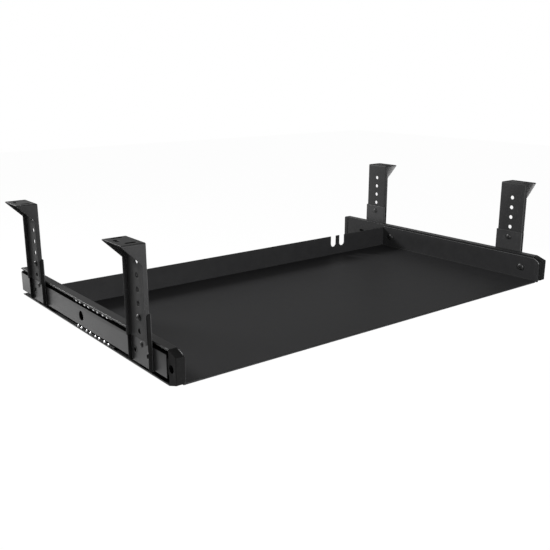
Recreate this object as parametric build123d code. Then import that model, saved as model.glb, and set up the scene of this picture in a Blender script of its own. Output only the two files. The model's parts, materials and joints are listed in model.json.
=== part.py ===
from build123d import *
import math
import os

# Keyboard tray on two ball bearing slides, hung under a desk by four brackets
# Millimetres, X across, Y from the front edge to the rear, Z up
# Each side piece is drawn on the right, outwards is +X there, and mirrored

# Slide, overall sizes
overall_width = 727.0
slide_height = 45.0
slide_thickness = 12.7
slide_rear = 484.0

# Balls and their races
ball_diameter = 4.76
ball_depth = 2.5
ball_running_gap = 0.05
race_cut = 0.35
ball_spacing = 12.0
ball_pair_pitch = 28.0
ball_pairs = 4
first_ball_inset = 16.5
ball_sides = 8
ball_flat_share = math.sqrt(2 / 3)

# Cage between the two slide members
cage_foremost = 23.5
cage_length = 121.0
cage_sheet = 0.8
cage_pocket_gap = 0.15
cage_rim = 0.3
cage_web_depth = 8.0
cage_window_length = 18.0
cage_window_height = 16.0
cage_window_radius = 3.0

# Outer slide member, which carries the tray
channel_sheet = 1.4
channel_front = 16.5
channel_tongue_front = 1.0
channel_tongue_low = 7.0
channel_tongue_drop = 7.5
channel_corner = 1.0
channel_lip_depth = 1.0
channel_lip_drop = 2.4
channel_rear_radius = 3.0
channel_foot_cut = 15.0
channel_bead_from_rear = 10.0
channel_bead_width = 1.2
channel_bead_depth = 0.35
channel_slot_rear_offset = 53.0
channel_slot_length = 11.0
channel_slot_height = 4.5
stop_tab_width = 14.0
stop_tab_sheet = 1.4
stop_tab_from_rear = 69.0
stop_tab_margin = 0.5
stop_tab_overlap = 0.6

# Inner slide member, which is fixed to the brackets
rail_front = 21.5
rail_sheet = 1.4
rail_shoulder_below_top = 7.8
rail_shoulder_round = 0.9
rail_shoulder_drop = 1.0
rail_mid_hole = 14.0
rail_mid_hole_place = 255.5
rail_race_start_angle = -150.0
rail_race_end_angle = -78.0

# Hanger brackets
bracket_sheet = 1.5
bracket_width = 49.2
front_bracket_middle = 77.6
rear_bracket_from_rear = 78.8
bend_radius = 2.0
hanger_length = 122.4
hanger_above_rivet = 7.18
hanger_flange = 5.6
hanger_plate_reach = 29.9
hanger_gusset_drop = 24.8
ladder_hole = 6.6
ladder_above_hanger_foot = 10.1
ladder_pitch = 17.28
ladder_holes = 6
shoe_bottom = 6.5
shoe_above_bolt = 10.42
shoe_flange = 4.8
shoe_side_gap = 0.3
shoe_corner = 3.0

# Slots in the hanger's top plate
plate_slot_width = 5.0
plate_slot_length = 14.0
plate_slot_inset = 16.7
plate_slot_front = 14.5
plate_slot_rear = 19.0
plate_side_slot_length = 11.5
plate_side_slot_inset = 8.4
plate_side_slot_rear = 3.5

# Height bolts with their sleeve nuts
bolt_shank = 4.0
bolt_head = 8.4
bolt_head_height = 2.5
bolt_socket = 2.5
bolt_socket_depth = 1.4
sleeve_outer = 6.2
sleeve_wall_gap = 0.05
sleeve_head = 9.0
sleeve_head_height = 2.4
bolt_tip_margin = 0.8

# Rivets between the shoes and the rails
hollow_rivet_spacing = 32.6
hollow_rivet_bore = 5.8
hollow_rivet_wall = 0.5
hollow_rivet_rim = 9.2
hollow_rivet_rim_height = 0.5
hollow_rivet_clench = 8.4
rivet_hole_gap = 0.05
dome_rivet_below_shoulder = 4.18
dome_rivet_shank = 3.2
dome_rivet_head = 7.4
dome_rivet_head_height = 1.7
dome_rivet_tail = 4.2
dome_rivet_tail_height = 0.8

# Tray
tray_sheet = 1.5
tray_front = 7.5
tray_flange_front = 3.5
tray_rear_from_slide_rear = 116.0
tray_flange_drop = 3.5
tray_lip_drop = 5.5
tray_bend = 2.5
tray_flange_round = 14.0
tray_flange_foot_round = 2.0
tray_hem_length = 8.0
tray_slide_gap = 0.0
notch_width = 13.3
notch_depth = 21.2
notch_middle = 221.25
notch_spacing = 22.1

# Screws from the tray into the outer slide members
tray_screw_front = 39.0
tray_screw_lip_distance = 21.0
tray_screw_shank = 5.0
tray_screw_head = 11.6
tray_screw_head_height = 2.8
tray_screw_cross = 5.4
tray_screw_cross_width = 1.1
tray_screw_cross_depth = 1.5
tray_nut_width = 8.0
tray_nut_height = 1.5
screw_hole_gap = 0.15

# Front caps
cap_length = 19.0
cap_top_front_drop = 6.2
cap_foot_front = 5.6
cap_shoulder_step = 0.4
cap_fit_gap = 0.1
cap_plug_inset = 2.6
cap_plug_recess = 3.0
cap_edge_round = 1.2
cap_hole = 10.3
cap_hole_place = 10.8
cap_hole_floor = 2.6
cap_screw_head = 7.6
cap_screw_head_height = 2.2
cap_screw_shank = 3.9
cap_screw_cross = 3.6
cap_screw_cross_width = 0.9
cap_screw_cross_depth = 1.0

# Rubber buffers at the front ends of the rails
buffer_front_gap = 0.1
buffer_cage_gap = 0.2
buffer_reach = 9.6
buffer_height = 20.0

# Shape of small fasteners and of the domed heads, as shares of height and radius
fastener_sides = 12
dome_shares = ((0.0, 1.0), (0.25, 0.96), (0.65, 0.75), (1.0, 0.38))

# One overrun for all cuts, and the reach within which an edge is found by its place
overrun = 5.0
pick_reach = 0.01

# Places that follow from the sizes above
half_width = overall_width / 2
half_height = slide_height / 2
slide_inner_x = half_width - slide_thickness
depth_middle = slide_rear / 2
ball_radius = ball_diameter / 2
race_radius = ball_radius + ball_running_gap
ball_height = slide_height - channel_sheet + race_cut - race_radius
ball_x = half_width - ball_depth
channel_inner_x = slide_inner_x + channel_sheet
rail_inner_x = half_width - rail_sheet
shoe_outer_x = half_width + bracket_sheet
hanger_outer_x = shoe_outer_x + bracket_sheet
hanger_flange_x = hanger_outer_x + hanger_flange
hanger_plate_x = hanger_outer_x + hanger_plate_reach
shoe_flange_x = shoe_outer_x + shoe_flange
tray_outer_x = slide_inner_x - tray_slide_gap
tray_inner_x = tray_outer_x - tray_sheet
tray_rear = slide_rear - tray_rear_from_slide_rear
tray_lip_inner = tray_rear - tray_sheet
tray_flange_top = slide_height - tray_flange_drop
tray_lip_top = slide_height - tray_lip_drop
notch_floor = tray_lip_top - notch_depth
tray_screw_rear = tray_lip_inner - tray_screw_lip_distance
floor_bottom = tray_sheet
floor_top = floor_bottom + tray_sheet
rail_shoulder = slide_height - rail_shoulder_below_top
rear_bracket_middle = slide_rear - rear_bracket_from_rear
dome_rivet_height = rail_shoulder - dome_rivet_below_shoulder
hanger_bottom = dome_rivet_height + hanger_above_rivet
hanger_top = hanger_bottom + hanger_length
ladder_bottom = hanger_bottom + ladder_above_hanger_foot
bolt_height = ladder_bottom + ladder_pitch
shoe_top = bolt_height + shoe_above_bolt
cap_top_front = slide_height - cap_top_front_drop
stop_tab_front = slide_rear - stop_tab_from_rear
travel = stop_tab_front - stop_tab_margin - cage_length - cage_foremost
cage_front = cage_foremost + travel / 2
cage_rear = cage_front + cage_length
first_ball = cage_front + first_ball_inset


# Common shapes
def block(x_range, y_range, z_range):
    size = [high - low for low, high in (x_range, y_range, z_range)]
    middle = [(high + low) / 2 for low, high in (x_range, y_range, z_range)]
    return Pos(*middle) * Box(*size)


def rod_x(radius, x_range, y, z):
    low, high = x_range
    place = Pos((low + high) / 2, y, z) * Rot(0, 90, 0)
    return place * Cylinder(radius, high - low)


def bar_x(radius, x_range, y, z):
    # Small shanks, heads and their holes are twelve-sided to keep the model light
    section = Pos(y, z) * RegularPolygon(radius, fastener_sides)
    return along_x(section, x_range)


def along_x(section, x_range):
    low, high = x_range
    return extrude(Plane.YZ.offset(low) * section, amount=high - low)


def along_y(section, y_range):
    front, rear = y_range
    return extrude(Plane.XZ.offset(-rear) * section, amount=rear - front)


def mirrored(solid):
    return mirror(solid, about=Plane.YZ)


def dome_x(base_radius, height, x_base, y, z, outwards):
    # A domed head in ruled steps, with its flat side on x_base
    steps = []
    for height_share, radius_share in dome_shares:
        plane = Plane.YZ.offset(x_base + outwards * height * height_share)
        steps.append(plane * Pos(y, z) * RegularPolygon(base_radius * radius_share, fastener_sides))
    return loft(steps, ruled=True)


def corners_at(outline, axis, place):
    return outline.vertices().filter_by_position(axis, place - pick_reach, place + pick_reach)


def cross_slot(size, width, depth, x_face, y, z, inwards):
    near, far = sorted((x_face - inwards * overrun, x_face + inwards * depth))
    upright = block((near, far), (y - width / 2, y + width / 2), (z - size / 2, z + size / 2))
    level = block((near, far), (y - size / 2, y + size / 2), (z - width / 2, z + width / 2))
    return upright + level


def edges_at(solid, axis, places):
    # Straight edges along one axis that lie on all the given planes
    found = solid.edges().filter_by(axis)
    for plane_axis, place in places:
        found = found.filter_by_position(plane_axis, place - pick_reach, place + pick_reach)
    return found


# Slide sections
def upper_and_lower(section):
    # The upper half of a slide section joined to its image below the middle
    lower = Pos(0, slide_height) * mirror(section, about=Plane.XZ)
    return section + lower


def flat(points):
    return make_face(Polyline(points, close=True))


def channel_half():
    top = slide_height
    wall = flat([
        (half_width, top),
        (slide_inner_x, top),
        (slide_inner_x, half_height),
        (channel_inner_x, half_height),
        (channel_inner_x, top - channel_sheet),
        (half_width - channel_lip_depth, top - channel_sheet),
        (half_width - channel_lip_depth, top - channel_lip_drop),
        (half_width, top - channel_lip_drop),
    ])
    race = Pos(ball_x, ball_height) * Circle(race_radius)
    return wall - race


def channel_section():
    return upper_and_lower(channel_half())


def ring_piece(start_angle, end_angle):
    # A part of the ring of sheet that lies round the ball, angles from +X
    outer = race_radius + rail_sheet
    span = [math.radians(start_angle + share * (end_angle - start_angle)) for share in (0, 0.5, 1)]
    inner_points = [(ball_x + race_radius * math.cos(a), ball_height + race_radius * math.sin(a)) for a in span]
    outer_points = [(ball_x + outer * math.cos(a), ball_height + outer * math.sin(a)) for a in span]
    inner_arc = ThreePointArc(*inner_points)
    outer_arc = ThreePointArc(*outer_points)
    closing = [Line(inner_points[0], outer_points[0]), Line(inner_points[2], outer_points[2])]
    return make_face([inner_arc, outer_arc] + closing), inner_points, outer_points


def rail_half():
    ring, inner_points, outer_points = ring_piece(rail_race_start_angle, rail_race_end_angle)
    web = flat([
        (half_width, half_height),
        (half_width, rail_shoulder),
        (half_width - rail_shoulder_round, rail_shoulder + rail_shoulder_round),
        inner_points[2],
        outer_points[2],
        (rail_inner_x, rail_shoulder - rail_shoulder_drop),
        (rail_inner_x, half_height),
    ])
    return web + ring


def rail_section():
    return upper_and_lower(rail_half())


# Inner slide member
def rail():
    body = along_y(rail_section(), (rail_front, slide_rear))
    across = (rail_inner_x - overrun, half_width + overrun)
    body -= rod_x(rail_mid_hole / 2, across, rail_mid_hole_place, half_height)
    for middle in (front_bracket_middle, rear_bracket_middle):
        body -= rivet_holes(middle, across)
    return body


def rivet_holes(middle, across):
    hollow = hollow_rivet_bore / 2 + hollow_rivet_wall + rivet_hole_gap
    holes = bar_x(dome_rivet_shank / 2 + rivet_hole_gap, across, middle, dome_rivet_height)
    for side in (-1, 1):
        y = middle + side * hollow_rivet_spacing / 2
        holes += bar_x(hollow, across, y, half_height)
    return holes


# Outer slide member
def channel():
    body = along_y(channel_section(), (channel_front, slide_rear))
    body = round_channel_rear(body)
    across = (slide_inner_x - overrun, channel_inner_x + overrun)
    tongue_z = (channel_tongue_low, slide_height - channel_tongue_drop)
    body += block((slide_inner_x, channel_inner_x), (channel_tongue_front, channel_front), tongue_z)
    body -= bar_x(cap_screw_shank / 2 + screw_hole_gap, across, cap_hole_place, half_height)
    for y in (tray_screw_front, tray_screw_rear):
        body -= bar_x(tray_screw_shank / 2 + screw_hole_gap, across, y, half_height)
    slot_y = slide_rear - channel_slot_rear_offset
    slot = Pos(slot_y, half_height) * SlotOverall(channel_slot_length, channel_slot_height)
    body -= along_x(slot, across)
    return body + stop_tab()


def round_channel_rear(body):
    # The rear corners are rounded, a bead crosses the web and the foot lip stops short
    outline = Pos(slide_rear / 2, half_height) * Rectangle(slide_rear, slide_height)
    outline = fillet(corners_at(outline, Axis.X, slide_rear), channel_rear_radius)
    body = body & along_x(outline, (slide_inner_x - overrun, half_width + overrun))
    lip_x = (half_width - channel_lip_depth, half_width + overrun)
    lip_z = (channel_sheet, channel_lip_drop + overrun)
    body -= block(lip_x, (slide_rear - channel_foot_cut, slide_rear + overrun), lip_z)
    bead_y = slide_rear - channel_bead_from_rear
    bead_x = (slide_inner_x - overrun, slide_inner_x + channel_bead_depth)
    bead_z = (channel_rear_radius, slide_height - channel_rear_radius)
    return body - block(bead_x, (bead_y - channel_bead_width / 2, bead_y + channel_bead_width / 2), bead_z)


def stop_tab():
    # The tab meets the cage's rear end when the tray is all the way out
    reach = (channel_inner_x, half_width - cage_web_depth + stop_tab_overlap)
    height = (half_height - stop_tab_width / 2, half_height + stop_tab_width / 2)
    return block(reach, (stop_tab_front, stop_tab_front + stop_tab_sheet), height)


# Ball cage
def ball_places():
    places = []
    for pair in range(ball_pairs):
        for one in range(2):
            places.append(first_ball + pair * ball_pair_pitch + one * ball_spacing)
    return places


def ball():
    # Three eight-sided bars cut each other to a ball of 18 facets inside the true one
    side_distance = ball_radius * ball_flat_share
    octagon = RegularPolygon(side_distance, ball_sides, major_radius=False, rotation=180 / ball_sides)
    lengthwise = extrude(Plane.XZ * octagon, amount=ball_radius, both=True)
    crosswise = extrude(Plane.YZ * octagon, amount=ball_radius, both=True)
    upright = extrude(Plane.XY * octagon, amount=ball_radius, both=True)
    return (lengthwise & crosswise) & upright


def balls():
    group = []
    facetted = ball()
    for y in ball_places():
        for z in (ball_height, slide_height - ball_height):
            group.append(Pos(ball_x, y, z) * facetted)
    return group


def cage():
    web_x = (half_width - cage_web_depth - cage_sheet, half_width - cage_web_depth)
    high = ball_height + cage_sheet / 2
    low = slide_height - high
    body = block(web_x, (cage_front, cage_rear), (low, high))
    for z in (ball_height, slide_height - ball_height):
        shelf_z = (z - cage_sheet / 2, z + cage_sheet / 2)
        shelf_x = (web_x[0], half_width - cage_rim)
        body += block(shelf_x, (cage_front, cage_rear), shelf_z)
    pocket = RegularPolygon(ball_radius + cage_pocket_gap, fastener_sides)
    for y in ball_places():
        body -= extrude(Pos(ball_x, y) * pocket, amount=slide_height)
    return body - cage_windows(web_x)


def cage_windows(web_x):
    opening = RectangleRounded(cage_window_length, cage_window_height, cage_window_radius)
    windows = []
    for pair in range(ball_pairs - 1):
        y = first_ball + ball_spacing / 2 + (pair + 0.5) * ball_pair_pitch
        windows.append(along_x(Pos(y, half_height) * opening, (web_x[0] - overrun, web_x[1] + overrun)))
    return windows


# Hanger, the upper bracket
def hanger_outline():
    return flat([
        (shoe_outer_x, hanger_bottom),
        (hanger_flange_x, hanger_bottom),
        (hanger_flange_x, hanger_top - hanger_gusset_drop),
        (hanger_plate_x, hanger_top - bracket_sheet),
        (hanger_plate_x, hanger_top),
        (shoe_outer_x, hanger_top),
    ])


def hanger(middle):
    front = middle - bracket_width / 2
    rear = middle + bracket_width / 2
    body = along_y(hanger_outline(), (front, rear))
    bends = edges_at(body, Axis.Z, [(Axis.X, shoe_outer_x)])
    bends += edges_at(body, Axis.Y, [(Axis.X, shoe_outer_x), (Axis.Z, hanger_top)])
    bends += edges_at(body, Axis.X, [(Axis.Z, hanger_top)])
    body = fillet(bends, bend_radius)
    body -= hanger_hollow(front, rear)
    for step in range(ladder_holes):
        z = ladder_bottom + step * ladder_pitch
        body -= rod_x(ladder_hole / 2, (shoe_outer_x - overrun, hanger_outer_x + overrun), middle, z)
    return body - plate_slots(middle)


def hanger_hollow(front, rear):
    hollow_x = (hanger_outer_x, hanger_plate_x + overrun)
    hollow_y = (front + bracket_sheet, rear - bracket_sheet)
    return block(hollow_x, hollow_y, (hanger_bottom - overrun, hanger_top - bracket_sheet))


def plate_slots(middle):
    across = SlotOverall(plate_slot_length, plate_slot_width)
    along = Rot(0, 0, 90) * SlotOverall(plate_side_slot_length, plate_slot_width)
    slot_x = hanger_plate_x - plate_slot_inset
    side_x = hanger_plate_x - plate_side_slot_inset
    places = [
        Pos(slot_x, middle - plate_slot_front) * across,
        Pos(slot_x, middle + plate_slot_rear) * across,
        Pos(side_x, middle + plate_side_slot_rear) * along,
    ]
    base = hanger_top - bracket_sheet - overrun
    return [extrude(Plane.XY.offset(base) * place, amount=bracket_sheet + 2 * overrun) for place in places]


# Shoe, the lower bracket, which holds the hanger between its flanges
def shoe(middle):
    half = bracket_width / 2 + shoe_side_gap + bracket_sheet
    outline = flat([
        (half_width, shoe_bottom),
        (shoe_flange_x, shoe_bottom),
        (shoe_flange_x, shoe_top),
        (half_width, shoe_top),
    ])
    outline = fillet(corners_at(outline, Axis.X, shoe_flange_x), shoe_corner)
    body = along_y(outline, (middle - half, middle + half))
    body = fillet(edges_at(body, Axis.Z, [(Axis.X, half_width)]), bend_radius)
    inner = half - bracket_sheet
    hollow = block(
        (shoe_outer_x, shoe_flange_x + overrun),
        (middle - inner, middle + inner),
        (shoe_bottom - overrun, shoe_top + overrun),
    )
    across = (half_width - overrun, shoe_outer_x + overrun)
    body = body - hollow - bar_x(ladder_hole / 2, across, middle, bolt_height)
    return body - rivet_holes(middle, across)


# Height bolt and sleeve nut
def height_bolt(middle):
    head = dome_x(bolt_head / 2, bolt_head_height, hanger_outer_x, middle, bolt_height, 1)
    face = hanger_outer_x + bolt_head_height
    socket = Pos(middle, bolt_height) * RegularPolygon(bolt_socket / 2, 6, major_radius=False)
    head -= along_x(socket, (face - bolt_socket_depth, face + overrun))
    tip = half_width - bolt_tip_margin
    return head + bar_x(bolt_shank / 2, (tip, hanger_outer_x), middle, bolt_height)


def sleeve_nut(middle):
    head = dome_x(sleeve_head / 2, sleeve_head_height, half_width, middle, bolt_height, -1)
    sleeve_end = hanger_outer_x - sleeve_wall_gap
    body = head + bar_x(sleeve_outer / 2, (half_width, sleeve_end), middle, bolt_height)
    bore = bolt_shank / 2 + sleeve_wall_gap
    bottom = half_width - bolt_tip_margin - sleeve_wall_gap
    return body - bar_x(bore, (bottom, hanger_outer_x + overrun), middle, bolt_height)


# Rivets
def dome_rivet(middle):
    z = dome_rivet_height
    head = dome_x(dome_rivet_head / 2, dome_rivet_head_height, shoe_outer_x, middle, z, 1)
    shank = bar_x(dome_rivet_shank / 2, (rail_inner_x, shoe_outer_x), middle, z)
    tail_x = (rail_inner_x - dome_rivet_tail_height, rail_inner_x)
    return head + shank + bar_x(dome_rivet_tail / 2, tail_x, middle, z)


def hollow_rivet(y):
    rim_x = (shoe_outer_x, shoe_outer_x + hollow_rivet_rim_height)
    clench_x = (rail_inner_x - hollow_rivet_rim_height, rail_inner_x)
    tube = hollow_rivet_bore / 2 + hollow_rivet_wall
    body = bar_x(hollow_rivet_rim / 2, rim_x, y, half_height)
    body += bar_x(tube, (clench_x[0], rim_x[1]), y, half_height)
    body += bar_x(hollow_rivet_clench / 2, clench_x, y, half_height)
    bore_x = (clench_x[0] - overrun, rim_x[1] + overrun)
    return body - bar_x(hollow_rivet_bore / 2, bore_x, y, half_height)


# Tray
def tray_outline():
    # Side view of the tray, with the large round at the flange's front
    outline = flat([
        (tray_flange_front, floor_bottom),
        (tray_rear, floor_bottom),
        (tray_rear, tray_flange_top),
        (tray_flange_front, tray_flange_top),
    ])
    top_corner = corners_at(outline, Axis.X, tray_flange_front).sort_by(Axis.Y)[-1]
    outline = fillet(top_corner, tray_flange_round)
    foot_corner = corners_at(outline, Axis.X, tray_flange_front).sort_by(Axis.Y)[0]
    return fillet(foot_corner, tray_flange_foot_round)


def tray():
    full_width = (-tray_outer_x, tray_outer_x)
    body = block(full_width, (tray_flange_front, tray_rear), (floor_bottom, tray_flange_top))
    sides = edges_at(body, Axis.Y, [(Axis.Z, floor_bottom)])
    rear = edges_at(body, Axis.X, [(Axis.Z, floor_bottom), (Axis.Y, tray_rear)])
    body = fillet(sides + rear, tray_bend)
    body -= tray_hollow()
    body = body & along_x(tray_outline(), full_width)
    body -= tray_trim()
    body += tray_hem()
    across = (-tray_outer_x - overrun, tray_outer_x + overrun)
    for y in (tray_screw_front, tray_screw_rear):
        body -= bar_x(tray_screw_shank / 2 + screw_hole_gap, across, y, half_height)
    return body


def tray_hollow():
    hollow = block(
        (-tray_inner_x, tray_inner_x),
        (tray_flange_front - overrun, tray_lip_inner),
        (floor_top, tray_flange_top + overrun),
    )
    sides = edges_at(hollow, Axis.Y, [(Axis.Z, floor_top)])
    rear = edges_at(hollow, Axis.X, [(Axis.Z, floor_top), (Axis.Y, tray_lip_inner)])
    return fillet(sides + rear, tray_bend - tray_sheet)


def tray_trim():
    # The floor's front edge, the lip's top edge and the two cable notches
    inside = (-tray_inner_x, tray_inner_x)
    front_y = (tray_flange_front - overrun, tray_front + tray_sheet)
    front = block(inside, front_y, (floor_bottom - overrun, floor_top + overrun))
    lip_y = (tray_lip_inner - overrun, tray_rear + overrun)
    lip = block(inside, lip_y, (tray_lip_top, tray_flange_top + overrun))
    cuts = [front, lip]
    for side in (-1, 1):
        cuts.append(notch(notch_middle + side * notch_spacing / 2, lip_y))
    return cuts


def notch(x, y_range):
    round_middle = notch_floor + notch_width / 2
    top = tray_flange_top + overrun
    opening = Pos(x, (round_middle + top) / 2) * Rectangle(notch_width, top - round_middle)
    opening += Pos(x, round_middle) * Circle(notch_width / 2)
    return along_y(opening, y_range)


def tray_hem():
    # The floor's front edge is folded back under itself
    fold = tray_front + tray_sheet
    rear = tray_front + tray_hem_length
    nose = Pos(fold, floor_bottom) * Circle(tray_sheet)
    fold_back = flat([(fold, 0), (rear, 0), (rear, floor_top), (fold, floor_top)])
    return along_x(nose + fold_back, (-tray_inner_x, tray_inner_x))


# Screws of the tray, with their clinch nuts
def tray_screw(y):
    head = dome_x(tray_screw_head / 2, tray_screw_head_height, tray_inner_x, y, half_height, -1)
    face = tray_inner_x - tray_screw_head_height
    head -= cross_slot(tray_screw_cross, tray_screw_cross_width, tray_screw_cross_depth, face, y, half_height, 1)
    tip = channel_inner_x + tray_nut_height
    return head + bar_x(tray_screw_shank / 2, (tray_inner_x, tip), y, half_height)


def tray_nut(y):
    hexagon = Pos(y, half_height) * RegularPolygon(tray_nut_width / 2, 6, major_radius=False)
    body = along_x(hexagon, (channel_inner_x, channel_inner_x + tray_nut_height))
    bore = tray_screw_shank / 2 + sleeve_wall_gap
    return body - bar_x(bore, (channel_inner_x - overrun, channel_inner_x + overrun), y, half_height)


# Front cap and its screw
def cap():
    front_x = channel_inner_x + cap_fit_gap
    join = channel_front - cap_fit_gap
    outline = flat([
        (0, cap_foot_front),
        (join, cap_shoulder_step),
        (join, slide_height - cap_shoulder_step),
        (0, cap_top_front),
    ])
    body = along_x(outline, (front_x, half_width))
    front_edges = body.edges().filter_by_position(Axis.Y, -pick_reach, pick_reach)
    body = fillet(front_edges, cap_edge_round)
    plug_z = (cap_plug_inset, slide_height - cap_plug_inset)
    body += block((front_x, half_width - cap_plug_recess), (join, cap_length), plug_z)
    floor_x = front_x + cap_hole_floor
    body -= rod_x(cap_hole / 2, (floor_x, half_width + overrun), cap_hole_place, half_height)
    shank = cap_screw_shank / 2 + screw_hole_gap
    return body - bar_x(shank, (front_x - overrun, floor_x + overrun), cap_hole_place, half_height)


def cap_screw():
    seat = channel_inner_x + cap_fit_gap + cap_hole_floor
    y = cap_hole_place
    head = bar_x(cap_screw_head / 2, (seat, seat + cap_screw_head_height), y, half_height)
    head -= cross_slot(
        cap_screw_cross,
        cap_screw_cross_width,
        cap_screw_cross_depth,
        seat + cap_screw_head_height,
        y,
        half_height,
        -1,
    )
    return head + bar_x(cap_screw_shank / 2, (slide_inner_x, seat), y, half_height)


# Buffer that stops the cap at the rear and the cage at the front
def rail_buffer():
    front = cap_length + buffer_front_gap
    rear = cage_front - travel / 2 - buffer_cage_gap
    height = (half_height - buffer_height / 2, half_height + buffer_height / 2)
    return block((half_width - buffer_reach, rail_inner_x), (front, rear), height)


# Output
def place(shape):
    return Pos(0, -depth_middle, 0) * shape


def solids_of(shape):
    if isinstance(shape, list):
        return [solid for one in shape for solid in solids_of(one)]
    return list(shape.solids())


def save(name, *shapes):
    solids = [place(solid) for solid in solids_of(list(shapes))]
    if len(solids) == 1:
        part = solids[0]
    else:
        part = Compound(children=solids)
    part.label = name
    export_step(part, os.path.join("parts", name + ".step"))


def save_pair(name, shape):
    save(name + "_right", shape)
    save(name + "_left", mirror_all(shape))


def mirror_all(shape):
    return [mirrored(solid) for solid in solids_of(shape)]


def both_sides(shapes):
    return shapes + mirror_all(shapes)


def main():
    os.makedirs("parts", exist_ok=True)
    middles = (front_bracket_middle, rear_bracket_middle)
    for middle, where in zip(middles, ("front", "rear")):
        save_pair("hanger_" + where, hanger(middle))
        save_pair("shoe_" + where, shoe(middle))
    save("height_bolts", both_sides([height_bolt(middle) for middle in middles]))
    save("sleeve_nuts", both_sides([sleeve_nut(middle) for middle in middles]))
    save("dome_rivets", both_sides([dome_rivet(middle) for middle in middles]))
    sides = (-hollow_rivet_spacing / 2, hollow_rivet_spacing / 2)
    save("hollow_rivets", both_sides([hollow_rivet(middle + side) for middle in middles for side in sides]))
    save_pair("rail", rail())
    save_pair("rail_buffer", rail_buffer())
    save("tray", tray())
    save_pair("channel", channel())
    save_pair("front_cap", cap())
    save("cap_screws", both_sides([cap_screw()]))
    places = (tray_screw_front, tray_screw_rear)
    save("tray_screws", both_sides([tray_screw(y) for y in places]))
    save("clinch_nuts", both_sides([tray_nut(y) for y in places]))
    save_pair("cage", cage())
    save_pair("balls", balls())


main()
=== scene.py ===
import json
import math

import bpy
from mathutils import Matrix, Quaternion, Vector


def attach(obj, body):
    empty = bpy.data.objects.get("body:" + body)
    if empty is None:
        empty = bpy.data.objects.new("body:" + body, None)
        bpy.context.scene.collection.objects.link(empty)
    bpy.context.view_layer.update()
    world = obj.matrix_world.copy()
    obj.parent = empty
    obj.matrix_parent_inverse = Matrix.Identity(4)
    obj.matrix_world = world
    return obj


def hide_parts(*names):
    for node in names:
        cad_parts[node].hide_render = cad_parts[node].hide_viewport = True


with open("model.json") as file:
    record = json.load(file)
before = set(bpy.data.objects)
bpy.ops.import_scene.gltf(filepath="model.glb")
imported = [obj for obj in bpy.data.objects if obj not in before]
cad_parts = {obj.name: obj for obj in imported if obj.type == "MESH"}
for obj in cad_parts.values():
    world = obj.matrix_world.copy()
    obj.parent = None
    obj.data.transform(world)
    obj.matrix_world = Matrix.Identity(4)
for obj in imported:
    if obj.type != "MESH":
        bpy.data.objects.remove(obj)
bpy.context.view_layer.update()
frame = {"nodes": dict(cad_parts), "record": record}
nodes = frame["nodes"]
bpy.ops.object.select_all(action="DESELECT")
print("stage: frame loaded")

acrossAxis, alongAxis, upAxis = range(3)  # X to the right, Y to the back, Z up
digits = 7  # the CAD's places are read to a tenth of a micrometre


def span(nodeName, axis):
    # where a CAD node starts and ends along one axis
    places = [round(corner[axis], digits) for corner in nodes[nodeName].bound_box]
    return min(places), max(places)


def middleOf(nodeName, axis):
    return sum(span(nodeName, axis)) / 2


def inset(nodeName, axis, start, end):
    # a CAD node's stretch along one axis, shortened at both ends
    first, last = span(nodeName, axis)
    return first + start, last - end


def within(place, stretch):
    return stretch[0] < place < stretch[1]


# places that the CAD gives; each face's X is on the right side
sheet = 0.0015  # thickness of the brackets and of the tray
slideFace = span("channel_right", acrossAxis)[1]
shoeFace = span("hanger_front_right", acrossAxis)[0]
hangerFace = shoeFace + sheet
trayFace = span("tray", acrossAxis)[1] - sheet
slideMiddle = middleOf("channel_right", upAxis)
hangerPair = ("hanger_front_right", "hanger_rear_right")
bracketMiddles = [middleOf(hanger, alongAxis) for hanger in hangerPair]


class Sock:
    # wraps one output socket, so that shader maths reads as an expression
    def __init__(self, kit, socket):
        self.kit = kit
        self.socket = socket

    def math(self, operation, first, second):
        return self.kit.node("ShaderNodeMath", {"operation": operation}, {0: first, 1: second})

    def __add__(self, other):
        return self.math("ADD", self, other)

    def __radd__(self, other):
        return self.math("ADD", other, self)

    def __sub__(self, other):
        return self.math("SUBTRACT", self, other)

    def __rsub__(self, other):
        return self.math("SUBTRACT", other, self)

    def __mul__(self, other):
        return self.math("MULTIPLY", self, other)

    def __rmul__(self, other):
        return self.math("MULTIPLY", other, self)


class NodeKit:
    # adds nodes to one tree
    def __init__(self, tree):
        self.tree = tree

    def node(self, kind, settings=None, values=None, out=0):
        made = self.tree.nodes.new(kind)
        for key, value in (settings or {}).items():
            setattr(made, key, value)
        for key, value in (values or {}).items():
            self.feed(made.inputs[key], value)
        return Sock(self, made.outputs[out])

    def feed(self, socket, value):
        if isinstance(value, Sock):
            self.tree.links.new(value.socket, socket)
        else:
            socket.default_value = value

    def mixShaders(self, factor, first, second):
        # socket 0 takes the factor, 1 and 2 the two shaders
        return self.node("ShaderNodeMixShader", None, {0: factor, 1: first, 2: second})

    def show(self, shader, outputType):
        output = next(made for made in self.tree.nodes if made.type == outputType)
        self.feed(output.inputs["Surface"], shader)


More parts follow.
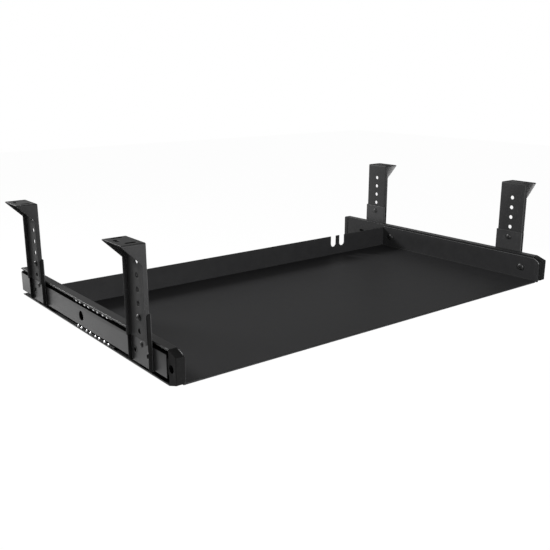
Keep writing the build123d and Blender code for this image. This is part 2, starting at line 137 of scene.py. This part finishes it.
class MaterialKit(NodeKit):
    # one new material with a Principled shader
    mixSockets = {"factor": 0, "first": 6, "second": 7, "result": 2}  # the colour ones of a Mix node
    noiseMiddle = 0.5

    def __init__(self, name):
        self.material = bpy.data.materials.new(name)
        self.material.use_nodes = True
        super().__init__(self.material.node_tree)
        self.shader = next(made for made in self.tree.nodes if made.type == "BSDF_PRINCIPLED")

    def set(self, **inputs):
        for key, value in inputs.items():
            self.feed(self.shader.inputs[key.replace("_", " ")], value)

    def noise(self, pattern):
        place = self.node("ShaderNodeTexCoord", out="Object")
        return self.node("ShaderNodeTexNoise", None, {"Vector": place, **pattern})

    def mixColour(self, factor, first, second):
        sockets = self.mixSockets
        values = {sockets["factor"]: factor, sockets["first"]: (*first, 1), sockets["second"]: (*second, 1)}
        return self.node("ShaderNodeMix", {"data_type": "RGBA"}, values, out=sockets["result"])

    def bump(self, pattern, relief):
        return self.node("ShaderNodeBump", None, {"Height": self.noise(pattern), **relief})

    def stray(self, look, cloud):
        # roughness that goes both ways from its plain value
        return look["roughness"] + look["roughnessSpread"] * (cloud - self.noiseMiddle)


# powder-coated sheet steel, as on the tray
coat = {
    "dark": (0.0095, 0.0095, 0.0099),
    "light": (0.0145, 0.0145, 0.015),
    "roughness": 0.5,
    "roughnessSpread": 0.08,
    "sheen": 0.09,
    "grain": {"Scale": 900.0, "Detail": 3.0, "Roughness": 0.55},  # orange peel
    "mottle": {"Scale": 60.0, "Detail": 3.0, "Roughness": 0.6},
    "relief": {"Strength": 0.22, "Distance": 0.00003},
}
# what the other coated parts have of their own, and the painted shade and painted highlight that chosen
# faces take
coatChanges = {
    "powderCoat": {},
    "slideCoat": {
        "dark": (0.0125, 0.0125, 0.0129),
        "light": (0.02, 0.02, 0.0205),
        "roughness": 0.42,
        "sheen": 0.25,
    },
    "channelCoat": {
        "dark": (0.0045, 0.0045, 0.0047),
        "light": (0.008, 0.008, 0.0083),
        "roughness": 0.4,
        "sheen": 0.16,
    },
    "hangerCoat": {
        "dark": (0.007, 0.007, 0.0073),
        "light": (0.013, 0.013, 0.0133),
        "roughness": 0.56,
        "sheen": 0.18,
    },
    # painted shade: near-black inside the channels, in the gap between the slide's members
    "paintedShadeRace": {
        "dark": (0.003, 0.003, 0.003),
        "light": (0.005, 0.005, 0.005),
        "roughness": 0.6,
        "sheen": 0.05,
    },
    # painted shade: near black and without gloss on the rails' folds in the dark gap
    "paintedShadeShoulder": {
        "dark": (0.0015, 0.0015, 0.0015),
        "light": (0.0025, 0.0025, 0.0025),
        "roughness": 0.8,
        "sheen": 0.0,
    },
    # painted shade on the shoes' flanges and on the slot walls of the hangers' top plates
    "shadedCoat": {
        "dark": (0.002, 0.002, 0.002),
        "light": (0.0035, 0.0035, 0.0035),
        "roughness": 0.6,
        "sheen": 0.05,
    },
    # painted highlight: much lighter on the upper edges of the tray's flanges, with more gloss
    "paintedHighlightRim": {
        "dark": (0.12, 0.12, 0.122),
        "light": (0.16, 0.16, 0.162),
        "roughness": 0.4,
        "sheen": 0.5,
    },
}


def powderCoat(name, look):
    kit = MaterialKit(name)
    mottle = kit.noise(look["mottle"])
    kit.set(
        Base_Color=kit.mixColour(mottle, look["dark"], look["light"]),
        Roughness=kit.stray(look, mottle),
        Normal=kit.bump(look["grain"], look["relief"]),
        Specular_IOR_Level=look["sheen"],
    )
    return kit.material


# the coats, and the painted shade and painted highlight materials, all built the same way
coated = {name: powderCoat(name, {**coat, **change}) for name, change in coatChanges.items()}

# blackened steel: the fasteners, and the cages a little duller
blackened = {
    "dark": (0.012, 0.012, 0.0123),
    "light": (0.02, 0.02, 0.0202),
    "metal": 0.6,
    "roughness": 0.46,
    "roughnessSpread": 0.12,
    "cloud": {"Scale": 350.0, "Detail": 3.0, "Roughness": 0.6},
    "grain": {"Scale": 2500.0, "Detail": 2.0, "Roughness": 0.5},
    "relief": {"Strength": 0.12, "Distance": 0.00002},
}
cageLook = {**blackened, "dark": (0.006, 0.006, 0.006), "light": (0.01, 0.01, 0.01), "roughness": 0.6}


def blackOxide(name, look):
    kit = MaterialKit(name)
    cloud = kit.noise(look["cloud"])
    kit.set(
        Base_Color=kit.mixColour(cloud, look["dark"], look["light"]),
        Metallic=look["metal"],
        Roughness=kit.stray(look, cloud),
        Normal=kit.bump(look["grain"], look["relief"]),
    )
    return kit.material


# moulded front caps, and the buffers' rubber
moulded = {
    "dark": (0.0035, 0.0035, 0.0035),
    "light": (0.006, 0.006, 0.006),
    "roughness": 0.55,
    "roughnessSpread": 0.1,
    "sheen": 0.03,
    "cloud": {"Scale": 120.0, "Detail": 3.0, "Roughness": 0.6},
    "grain": {"Scale": 3000.0, "Detail": 2.0, "Roughness": 0.5},
    "relief": {"Strength": 0.2, "Distance": 0.00003},
}
rubberLook = {**moulded, "dark": (0.006, 0.006, 0.006), "light": (0.01, 0.01, 0.01)}
rubberLook.update({"roughness": 0.75, "sheen": 0.2})


def mouldedPlastic(name, look):
    kit = MaterialKit(name)
    cloud = kit.noise(look["cloud"])
    kit.set(
        Base_Color=kit.mixColour(cloud, look["dark"], look["light"]),
        Roughness=kit.stray(look, cloud),
        Normal=kit.bump(look["grain"], look["relief"]),
        Specular_IOR_Level=look["sheen"],
    )
    return kit.material


# polished steel of the bearing balls
polished = {
    "dark": (0.82, 0.82, 0.83),
    "light": (0.92, 0.92, 0.93),
    "roughness": 0.22,
    "roughnessSpread": 0.12,
    "smear": {"Scale": 500.0, "Detail": 3.0, "Roughness": 0.6},
}


def polishedSteel(name, look):
    kit = MaterialKit(name)
    smear = kit.noise(look["smear"])
    kit.set(
        Base_Color=kit.mixColour(smear, look["dark"], look["light"]),
        Metallic=1.0,
        Roughness=look["roughness"] + look["roughnessSpread"] * smear,
    )
    return kit.material


slotFinish = {
    "coated_steel": coated["powderCoat"],
    "blackened_fastener": blackOxide("blackOxide", blackened),
    "cap_plastic": mouldedPlastic("mouldedCap", moulded),
    "buffer_rubber": mouldedPlastic("bufferRubber", rubberLook),
    "cage_steel": blackOxide("cageSteel", cageLook),
    "ball_steel": polishedSteel("polishedBall", polished),
}
# coated parts that differ from the tray
partFinish = {
    "rail": coated["slideCoat"],
    "shoe": coated["slideCoat"],
    "channel": coated["channelCoat"],
    "hanger": coated["hangerCoat"],
}
finishOf = {}
for sub in frame["record"]["subparts"]:
    nodeName = sub["node"]
    finishOf[nodeName] = slotFinish[sub["material_slot"]]
    if sub["material_slot"] == "coated_steel":
        finishOf[nodeName] = partFinish.get(nodeName.split("_")[0], coated["powderCoat"])
    cadNode = nodes[nodeName]
    if not cadNode.material_slots:
        cadNode.data.materials.append(None)
    for materialSlot in cadNode.material_slots:
        materialSlot.material = finishOf[nodeName]
print("stage: materials")

# the sheet and moulded parts again, with the small rounds that real edges have;
# a round that is held stops before it meets the next one
sides = ("_left", "_right")
corners = ("_front_left", "_front_right", "_rear_left", "_rear_right")
edgeRound = {
    "tray": {"copies": ("",), "width": 0.0004, "steps": 2, "held": True},
    "channel": {"copies": sides, "width": 0.00045, "steps": 2, "held": False},
    "rail": {"copies": sides, "width": 0.0003, "steps": 2, "held": False},
    "front_cap": {"copies": sides, "width": 0.0006, "steps": 3, "held": True},
    "rail_buffer": {"copies": sides, "width": 0.0006, "steps": 3, "held": True},
    "cage": {"copies": sides, "width": 0.00015, "steps": 2, "held": False},
    "hanger": {"copies": corners, "width": 0.0004, "steps": 2, "held": False},
    "shoe": {"copies": corners, "width": 0.0004, "steps": 2, "held": False},
}
meshing = {
    "merge": 0.000001,
    "flat": 0.3,  # degrees, as all angles here
    "sharpest": 33.0,  # flatter edges get no round
    "sheetSmooth": 40.0,
    "turnedSmooth": 35.0,
}
# how far in from a part's own faces the painted shade and painted highlight start; a turn is how far a face
# looks up
paintedShadeInset = {"web": 0.0007, "lip": 0.0002, "edge": 0.0009, "shoulder": 0.0137}
shaded = {"past": 0.0004}
slotWalls = {"web": 0.0045, "rim": 0.0019, "ends": 0.002, "depth": 0.0018, "turn": 0.85}
paintedHighlightInset = {"slack": 0.0002, "low": 0.02, "turn": 0.35}
raceAcross = inset("channel_right", acrossAxis, paintedShadeInset["web"], paintedShadeInset["lip"])
raceUp = inset("channel_right", upAxis, paintedShadeInset["edge"], paintedShadeInset["edge"])
plateAcross = inset("hanger_front_right", acrossAxis, slotWalls["web"], slotWalls["rim"])
plateAlong = [inset(hanger, alongAxis, slotWalls["ends"], slotWalls["ends"]) for hanger in hangerPair]
plateLow = span("hanger_front_right", upAxis)[1] - slotWalls["depth"]


def onRace(face):
    # inside a channel, between the two members of the slide, where painted shade darkens the gap
    return within(abs(face.center.x), raceAcross) and within(face.center.z, raceUp)


def onShoulder(face):
    # the folds at a rail's top and bottom, painted near-black as shade in the dark gap
    return abs(face.center.z - slideMiddle) > paintedShadeInset["shoulder"]


def onShoeFlange(face):
    # the shoes' flanges beside the hangers, painted darker as the shadow they stand in
    return abs(face.center.x) > shoeFace + shaded["past"]


def onSlotWall(face):
    # the walls of the slots in a hanger's top plate, painted darker as shade
    inPlate = within(abs(face.center.x), plateAcross) and face.center.z > plateLow
    offEnds = any(within(face.center.y, stretch) for stretch in plateAlong)
    return inPlate and offEnds and abs(face.normal.z) < slotWalls["turn"]


def onFlangeTop(face):
    # the upper edges of the tray's flanges, painted lighter as a highlight where they catch the light
    onFlange = abs(face.center.x) > trayFace - paintedHighlightInset["slack"] and face.center.z > paintedHighlightInset["low"]
    return onFlange and face.normal.z > paintedHighlightInset["turn"]


# faces that take painted shade or a painted highlight in place of their coat
paintedLightFaces = {
    "tray": (onFlangeTop, "paintedHighlightRim"),
    "channel": (onRace, "paintedShadeRace"),
    "rail": (onShoulder, "paintedShadeShoulder"),
    "hanger": (onSlotWall, "shadedCoat"),
    "shoe": (onShoeFlange, "shadedCoat"),
}
bodyOf = {node: body for body, names in frame["record"]["behaviour"]["bodies"].items() for node in names}


def choose(thing):
    bpy.ops.object.select_all(action="DESELECT")
    thing.select_set(True)
    bpy.context.view_layer.objects.active = thing


def smooth(thing, degrees):
    choose(thing)
    bpy.ops.object.shade_smooth_by_angle(angle=math.radians(degrees))


def hang(thing, nodeName):
    # finish and body of a new piece; the CAD node that it stands for is hidden
    thing.data.materials.clear()
    thing.data.materials.append(finishOf[nodeName])
    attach(thing, bodyOf[nodeName])
    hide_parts(nodeName)


def paintLightOnFaces(thing, isChosen, paintedLightName):
    # the faces that isChosen picks take the painted shade or painted highlight material
    thing.data.materials.append(coated[paintedLightName])
    for face in thing.data.polygons:
        if isChosen(face):
            face.material_index = 1


def roundedCopy(nodeName, look):
    pieceName = "rounded" + nodeName.title().replace("_", "")
    piece = bpy.data.objects.new(pieceName, nodes[nodeName].data.copy())
    bpy.context.scene.collection.objects.link(piece)
    choose(piece)
    bpy.ops.object.mode_set(mode="EDIT")
    bpy.ops.mesh.select_all(action="SELECT")
    bpy.ops.mesh.remove_doubles(threshold=meshing["merge"])
    bpy.ops.mesh.dissolve_limited(angle_limit=math.radians(meshing["flat"]))
    bpy.ops.mesh.select_all(action="DESELECT")
    bpy.ops.object.mode_set(mode="OBJECT")
    smooth(piece, meshing["sheetSmooth"])
    bevel = piece.modifiers.new("edgeRound", "BEVEL")
    bevel.width = look["width"]
    bevel.segments = look["steps"]
    bevel.limit_method = "ANGLE"
    bevel.angle_limit = math.radians(meshing["sharpest"])
    bevel.use_clamp_overlap = look["held"]
    bevel.harden_normals = True
    bpy.ops.object.modifier_apply(modifier=bevel.name)
    hang(piece, nodeName)
    return piece


for kind, look in edgeRound.items():
    for ending in look["copies"]:
        piece = roundedCopy(kind + ending, look)
        if kind in paintedLightFaces:
            paintLightOnFaces(piece, *paintedLightFaces[kind])
print("stage: rounded sheet parts")

endOnX = (0, math.pi / 2, 0)  # turns a primitive's axis from Z to X


def turned(name, rings, facets, closed=True):
    # a turned shape round X; each ring is (place, radius), extruded from the one before
    place, radius = rings[0]
    bpy.ops.object.select_all(action="DESELECT")
    bpy.ops.mesh.primitive_circle_add(
        vertices=facets,
        radius=radius,
        fill_type="NGON" if closed else "NOTHING",
        location=(place, 0, 0),
        rotation=endOnX,
    )
    piece = bpy.context.object
    piece.name = name
    bpy.ops.object.transform_apply(location=True, rotation=True, scale=True)
    bpy.ops.object.mode_set(mode="EDIT")
    bpy.ops.mesh.select_all(action="SELECT")
    for nextPlace, nextRadius in rings[1:]:
        bpy.ops.mesh.extrude_region_move(TRANSFORM_OT_translate={"value": (nextPlace - place, 0, 0)})
        share = nextRadius / radius
        bpy.ops.transform.resize(value=(1, share, share), center_override=(nextPlace, 0, 0))
        place, radius = nextPlace, nextRadius
    bpy.ops.mesh.select_all(action="SELECT")
    bpy.ops.mesh.remove_doubles(threshold=meshing["merge"])
    bpy.ops.mesh.normals_make_consistent(inside=False)
    bpy.ops.object.mode_set(mode="OBJECT")
    return piece


def domeRings(look, base):
    # rings of a low dome from its rim at the base up to a small flat
    rings = []
    top = math.acos(look["flatShare"])
    for step in range(look["domeSteps"] + 1):
        angle = top * step / look["domeSteps"]
        lift = (look["rise"] - base) * math.sin(angle) / math.sin(top)
        rings.append((base + lift, look["radius"] * math.cos(angle)))
    return rings


def cutWith(piece, tool):
    cut = piece.modifiers.new("recess", "BOOLEAN")
    cut.operation = "DIFFERENCE"
    cut.solver = "EXACT"
    cut.object = tool
    choose(piece)
    bpy.ops.object.modifier_apply(modifier=cut.name)
    bpy.data.objects.remove(tool, do_unlink=True)


def setOut(model, name, places, facing, nodeName):
    # facing 1 points the model's +X away from the middle of the tray, -1 towards it
    smooth(model, meshing["turnedSmooth"])
    for index, (x, y, z) in enumerate(places):
        choose(model)
        bpy.ops.object.duplicate()
        copied = bpy.context.object
        copied.name = name + str(index + 1)
        copied.location = (x, y, z)
        copied.rotation_euler = (0, 0, 0 if x * facing > 0 else math.pi)
        bpy.ops.object.transform_apply(location=True, rotation=True, scale=True)
        hang(copied, nodeName)
    bpy.data.objects.remove(model, do_unlink=True)


def bothSides(x, rows, z):
    return [(side * x, y, z) for side in (-1, 1) for y in rows]


heightBolt = {
    "radius": 0.0042,
    "rise": 0.0025,
    "rim": 0.0004,
    "seatShare": 0.96,  # under the head, of its radius
    "seatRiseShare": 0.3,  # of the rim
    "flatShare": 0.5,
    "domeSteps": 9,
    "socketRadius": 0.00144,
    "socketDepth": 0.0014,
    "socketSides": 6,
    "shank": 0.002,
    "tip": -0.0038,
    "taperShare": 0.2,
    "facets": 48,
}


def shankRings(look):
    # a plain shank with a tapered tip, up to the face that the head sits on
    taper = look["shank"] * look["taperShare"]
    return [(look["tip"], look["shank"] - taper), (look["tip"] + taper, look["shank"]), (0, look["shank"])]


def makeHeightBolt(look):
    rings = shankRings(look) + [(0, look["radius"] * look["seatShare"])]
    rings += [(look["rim"] * look["seatRiseShare"], look["radius"])]
    rings += domeRings(look, look["rim"])
    piece = turned("heightBoltModel", rings, look["facets"])
    bpy.ops.mesh.primitive_cylinder_add(
        vertices=look["socketSides"],
        radius=look["socketRadius"],
        depth=look["socketDepth"] * 2,
        location=(look["rise"], 0, 0),
        rotation=endOnX,
    )
    cutWith(piece, bpy.context.object)
    return piece


setOut(
    makeHeightBolt(heightBolt),
    "heightBolt",
    bothSides(hangerFace, bracketMiddles, middleOf("height_bolts", upAxis)),
    1,
    "height_bolts",
)

sleeveNut = {
    "radius": 0.0045,
    "rise": 0.0024,
    "rim": 0.0003,
    "flatShare": 0.25,
    "domeSteps": 10,
    "sleeve": 0.0031,
    "sleeveLength": 0.00295,
    "bore": 0.00205,
    "boreDepth": 0.0009,  # past the slide's face, into the head
    "facets": 48,
}


def makeSleeveNut(look):
    rings = [(look["boreDepth"], look["bore"]), (-look["sleeveLength"], look["bore"])]
    rings += [(-look["sleeveLength"], look["sleeve"]), (0, look["sleeve"]), (0, look["radius"])]
    rings += domeRings(look, look["rim"])
    return turned("sleeveNutModel", rings, look["facets"])


setOut(
    makeSleeveNut(sleeveNut),
    "sleeveNut",
    bothSides(slideFace, bracketMiddles, middleOf("sleeve_nuts", upAxis)),
    -1,
    "sleeve_nuts",
)

domeRivet = {
    "radius": 0.0037,
    "rise": 0.0017,
    "flatShare": 0.2,
    "domeSteps": 10,
    "shank": 0.0016,
    "tail": 0.0021,
    "tailEnd": -0.0037,
    "tailEndShare": 0.7,
    "tailRound": 0.0003,
    "railBack": -0.0029,
    "facets": 40,
}


def makeDomeRivet(look):
    rings = [(look["tailEnd"], look["tail"] * look["tailEndShare"])]
    rings += [(look["tailEnd"] + look["tailRound"], look["tail"]), (look["railBack"], look["tail"])]
    rings += [(look["railBack"], look["shank"]), (0, look["shank"])]
    rings += domeRings(look, 0)
    return turned("domeRivetModel", rings, look["facets"])


setOut(
    makeDomeRivet(domeRivet),
    "domeRivet",
    bothSides(shoeFace, bracketMiddles, middleOf("dome_rivets", upAxis)),
    1,
    "dome_rivets",
)

hollowRivet = {
    "bore": 0.0029,
    "tube": 0.0034,
    "rim": 0.0046,
    "rimRise": 0.0005,
    "rimLowShare": 0.4,  # of the rise, as the next two
    "rimHighShare": 0.9,
    "clenchShare": 0.6,
    "clench": 0.0042,
    "railBack": -0.0029,
    "spacing": 0.0326,
    "facets": 40,
}


def makeHollowRivet(look):
    rise = look["rimRise"]
    low = rise * look["rimLowShare"]
    high = rise * look["rimHighShare"]
    back = look["railBack"]
    clenchEnd = back - rise * look["clenchShare"]
    rings = [(low, look["bore"]), (high, look["bore"] + low), (rise, look["tube"])]
    rings += [(high, look["rim"] - low), (low, look["rim"]), (0, look["rim"])]
    rings += [(0, look["tube"]), (back, look["tube"]), (back, look["clench"])]
    rings += [(clenchEnd, look["clench"]), (back - rise, look["tube"]), (clenchEnd, look["bore"])]
    rings += [rings[0]]
    return turned("hollowRivetModel", rings, look["facets"], closed=False)


rivetRows = [middle + side * hollowRivet["spacing"] / 2 for middle in bracketMiddles for side in (-1, 1)]
setOut(
    makeHollowRivet(hollowRivet),
    "hollowRivet",
    bothSides(shoeFace, rivetRows, slideMiddle),
    1,
    "hollow_rivets",
)

trayScrew = {
    "radius": 0.0058,
    "rise": 0.0028,
    "rim": 0.0003,
    "flatShare": 0.3,
    "domeSteps": 10,
    "shank": 0.0025,
    "tip": -0.0044,
    "taperShare": 0.25,
    "crossSize": 0.0054,
    "crossWidth": 0.0011,
    "crossDepth": 0.0015,
    "facets": 48,
}
capScrew = {
    "radius": 0.0038,
    "rise": 0.0022,
    "rim": 0.0012,
    "flatShare": 0.55,
    "domeSteps": 10,
    "shank": 0.00195,
    "tip": -0.0041,
    "taperShare": 0.25,
    "crossSize": 0.0036,
    "crossWidth": 0.0009,
    "crossDepth": 0.001,
    "facets": 48,
}


def makeCrossScrew(name, look):
    rings = shankRings(look) + [(0, look["radius"])] + domeRings(look, look["rim"])
    piece = turned(name, rings, look["facets"])
    for turnedBy in (0.0, math.pi / 2):
        bpy.ops.mesh.primitive_cube_add(size=1, location=(look["rise"], 0, 0))
        tool = bpy.context.object
        tool.dimensions = (look["crossDepth"] * 2, look["crossWidth"], look["crossSize"])
        tool.rotation_euler = (turnedBy, 0, 0)
        bpy.ops.object.transform_apply(location=False, rotation=True, scale=True)
        cutWith(piece, tool)
    return piece


screwRows = inset("tray_screws", alongAxis, trayScrew["radius"], trayScrew["radius"])
setOut(
    makeCrossScrew("trayScrewModel", trayScrew),
    "trayScrew",
    bothSides(trayFace, screwRows, slideMiddle),
    -1,
    "tray_screws",
)
capSeat = span("cap_screws", acrossAxis)[1] - capScrew["rise"]
setOut(
    makeCrossScrew("capScrewModel", capScrew),
    "capScrew",
    bothSides(capSeat, [middleOf("cap_screws", alongAxis)], slideMiddle),
    1,
    "cap_screws",
)
print("stage: fasteners")

# bearing balls, each from a cube that is drawn out to a ball
bearing = {
    "radius": 0.00238,
    "cuts": 7,
    "spacing": 0.012,
    "inPair": 2,
    "pairPitch": 0.028,
    "pairs": 4,
}


def makeBall(look):
    bpy.ops.object.select_all(action="DESELECT")
    bpy.ops.mesh.primitive_cube_add(size=look["radius"] * 2)
    ball = bpy.context.object
    bpy.ops.object.mode_set(mode="EDIT")
    bpy.ops.mesh.select_all(action="SELECT")
    bpy.ops.mesh.subdivide(number_cuts=look["cuts"])
    bpy.ops.transform.tosphere(value=1.0)
    bpy.ops.object.mode_set(mode="OBJECT")
    for vertex in ball.data.vertices:
        vertex.co = vertex.co.normalized() * look["radius"]
    bpy.ops.object.shade_smooth()
    return ball


def makeBallRow(look, name, nodeName):
    # places by the CAD's balls, whose facets stay a little inside the true ball
    inner, outer = span(nodeName, acrossAxis)
    reach = (outer - inner) / 2
    first = inset(nodeName, alongAxis, reach, reach)[0]
    ball = makeBall(look)
    row = []
    for pair in range(look["pairs"]):
        for one in range(look["inPair"]):
            for height in inset(nodeName, upAxis, reach, reach):
                choose(ball)
                bpy.ops.object.duplicate()
                copied = bpy.context.object
                along = first + pair * look["pairPitch"] + one * look["spacing"]
                copied.location = (middleOf(nodeName, acrossAxis), along, height)
                row.append(copied)
    bpy.data.objects.remove(ball, do_unlink=True)
    choose(row[0])
    for copied in row:
        copied.select_set(True)
    bpy.ops.object.join()
    joined = bpy.context.object
    joined.name = name
    choose(joined)
    bpy.ops.object.transform_apply(location=True, rotation=True, scale=True)
    hang(joined, nodeName)


makeBallRow(bearing, "ballsLeftSmooth", "balls_left")
makeBallRow(bearing, "ballsRightSmooth", "balls_right")
bpy.ops.object.select_all(action="DESELECT")
print("stage: bearing balls")

# camera at the photograph's place
view = {
    "place": (-0.75171, -0.91694, 0.34559),
    "azimuth": -38.09,  # degrees, as all angles here
    "elevation": 15.235,
    "roll": -0.025,
    "lens": 48.351,  # millimetres, as the sensor
    "sensor": 36.0,
    "nearest": 0.01,
}


def makeCamera(look):
    turn = math.radians(look["azimuth"])
    rise = math.radians(look["elevation"])
    level = math.cos(rise)
    forward = Vector((-math.sin(turn) * level, math.cos(turn) * level, -math.sin(rise)))
    cameraData = bpy.data.cameras.new("photoCamera")
    cameraData.lens = look["lens"]
    cameraData.sensor_width = look["sensor"]
    cameraData.clip_start = look["nearest"]
    camera = bpy.data.objects.new("photoCamera", cameraData)
    camera.location = look["place"]
    camera.rotation_mode = "QUATERNION"
    roll = Quaternion((0, 0, 1), math.radians(look["roll"]))
    camera.rotation_quaternion = forward.to_track_quat("-Z", "Y") @ roll
    bpy.context.scene.collection.objects.link(camera)
    bpy.context.scene.camera = camera


makeCamera(view)
print("stage: camera")

# floor and world; a strength of 1 shows as white
studio = {
    "floorDrop": 0.45,
    "floorSize": 14.0,
    "floorColour": (0.8, 0.8, 0.8),
    "floorRoughness": 0.9,
    "floorGlow": 0.98,
    "worldGlow": 0.1,
    "mirrored": 0.4,  # how much of the pale background metal and gloss show
    "white": {"Color": (1, 1, 1, 1), "Strength": 1.0},
}


def backgroundRays(kit, mirrored):
    # 1 for what the camera sees, less for what metal and gloss mirror
    seen = kit.node("ShaderNodeLightPath", out="Is Camera Ray")
    glossy = kit.node("ShaderNodeLightPath", out="Is Glossy Ray")
    through = kit.node("ShaderNodeLightPath", out="Is Transmission Ray")
    return seen + (glossy + through) * mirrored


def makeFloor(look):
    bpy.ops.mesh.primitive_plane_add(size=look["floorSize"], location=(0, 0, -look["floorDrop"]))
    floor = bpy.context.object
    floor.name = "studioFloor"
    kit = MaterialKit("paleFloor")
    kit.set(Base_Color=(*look["floorColour"], 1), Roughness=look["floorRoughness"])
    lit = Sock(kit, kit.shader.outputs[0])
    glow = kit.node("ShaderNodeEmission", None, look["white"])
    share = backgroundRays(kit, look["mirrored"]) * look["floorGlow"]
    kit.show(kit.mixShaders(share, lit, glow), "OUTPUT_MATERIAL")
    floor.data.materials.append(kit.material)
    bpy.ops.object.select_all(action="DESELECT")


def makeWorld(look):
    world = bpy.data.worlds.new("studioWorld")
    bpy.context.scene.world = world
    world.use_nodes = True
    kit = NodeKit(world.node_tree)
    dim = kit.node("ShaderNodeBackground", None, {**look["white"], "Strength": look["worldGlow"]})
    pale = kit.node("ShaderNodeBackground", None, look["white"])
    kit.show(kit.mixShaders(backgroundRays(kit, look["mirrored"]), dim, pale), "OUTPUT_WORLD")


makeFloor(studio)
makeWorld(studio)

lamps = [
    {"name": "keyLamp", "place": (-1.35, 2.7, 1.6), "aim": (-0.1, 0.0, 0.0), "size": 0.7, "watts": 200},
    {"name": "fillLamp", "place": (-0.32, -1.45, 0.26), "aim": (0.1, 0.1, 0.0), "size": 0.35, "watts": 36},
    {"name": "sideLamp", "place": (2.4, 0.1, 0.1), "aim": (0.2, 0.0, 0.05), "size": 0.5, "watts": 80},
]


def makeLamp(look):
    lampData = bpy.data.lights.new(look["name"], "AREA")
    lampData.size = look["size"]
    lampData.energy = look["watts"]
    lamp = bpy.data.objects.new(look["name"], lampData)
    lamp.location = look["place"]
    lamp.rotation_mode = "QUATERNION"
    aim = Vector(look["aim"]) - Vector(look["place"])
    lamp.rotation_quaternion = aim.to_track_quat("-Z", "Y")
    bpy.context.scene.collection.objects.link(lamp)


for look in lamps:
    makeLamp(look)
bpy.context.scene.view_settings.view_transform = "Standard"
print("stage: lights")
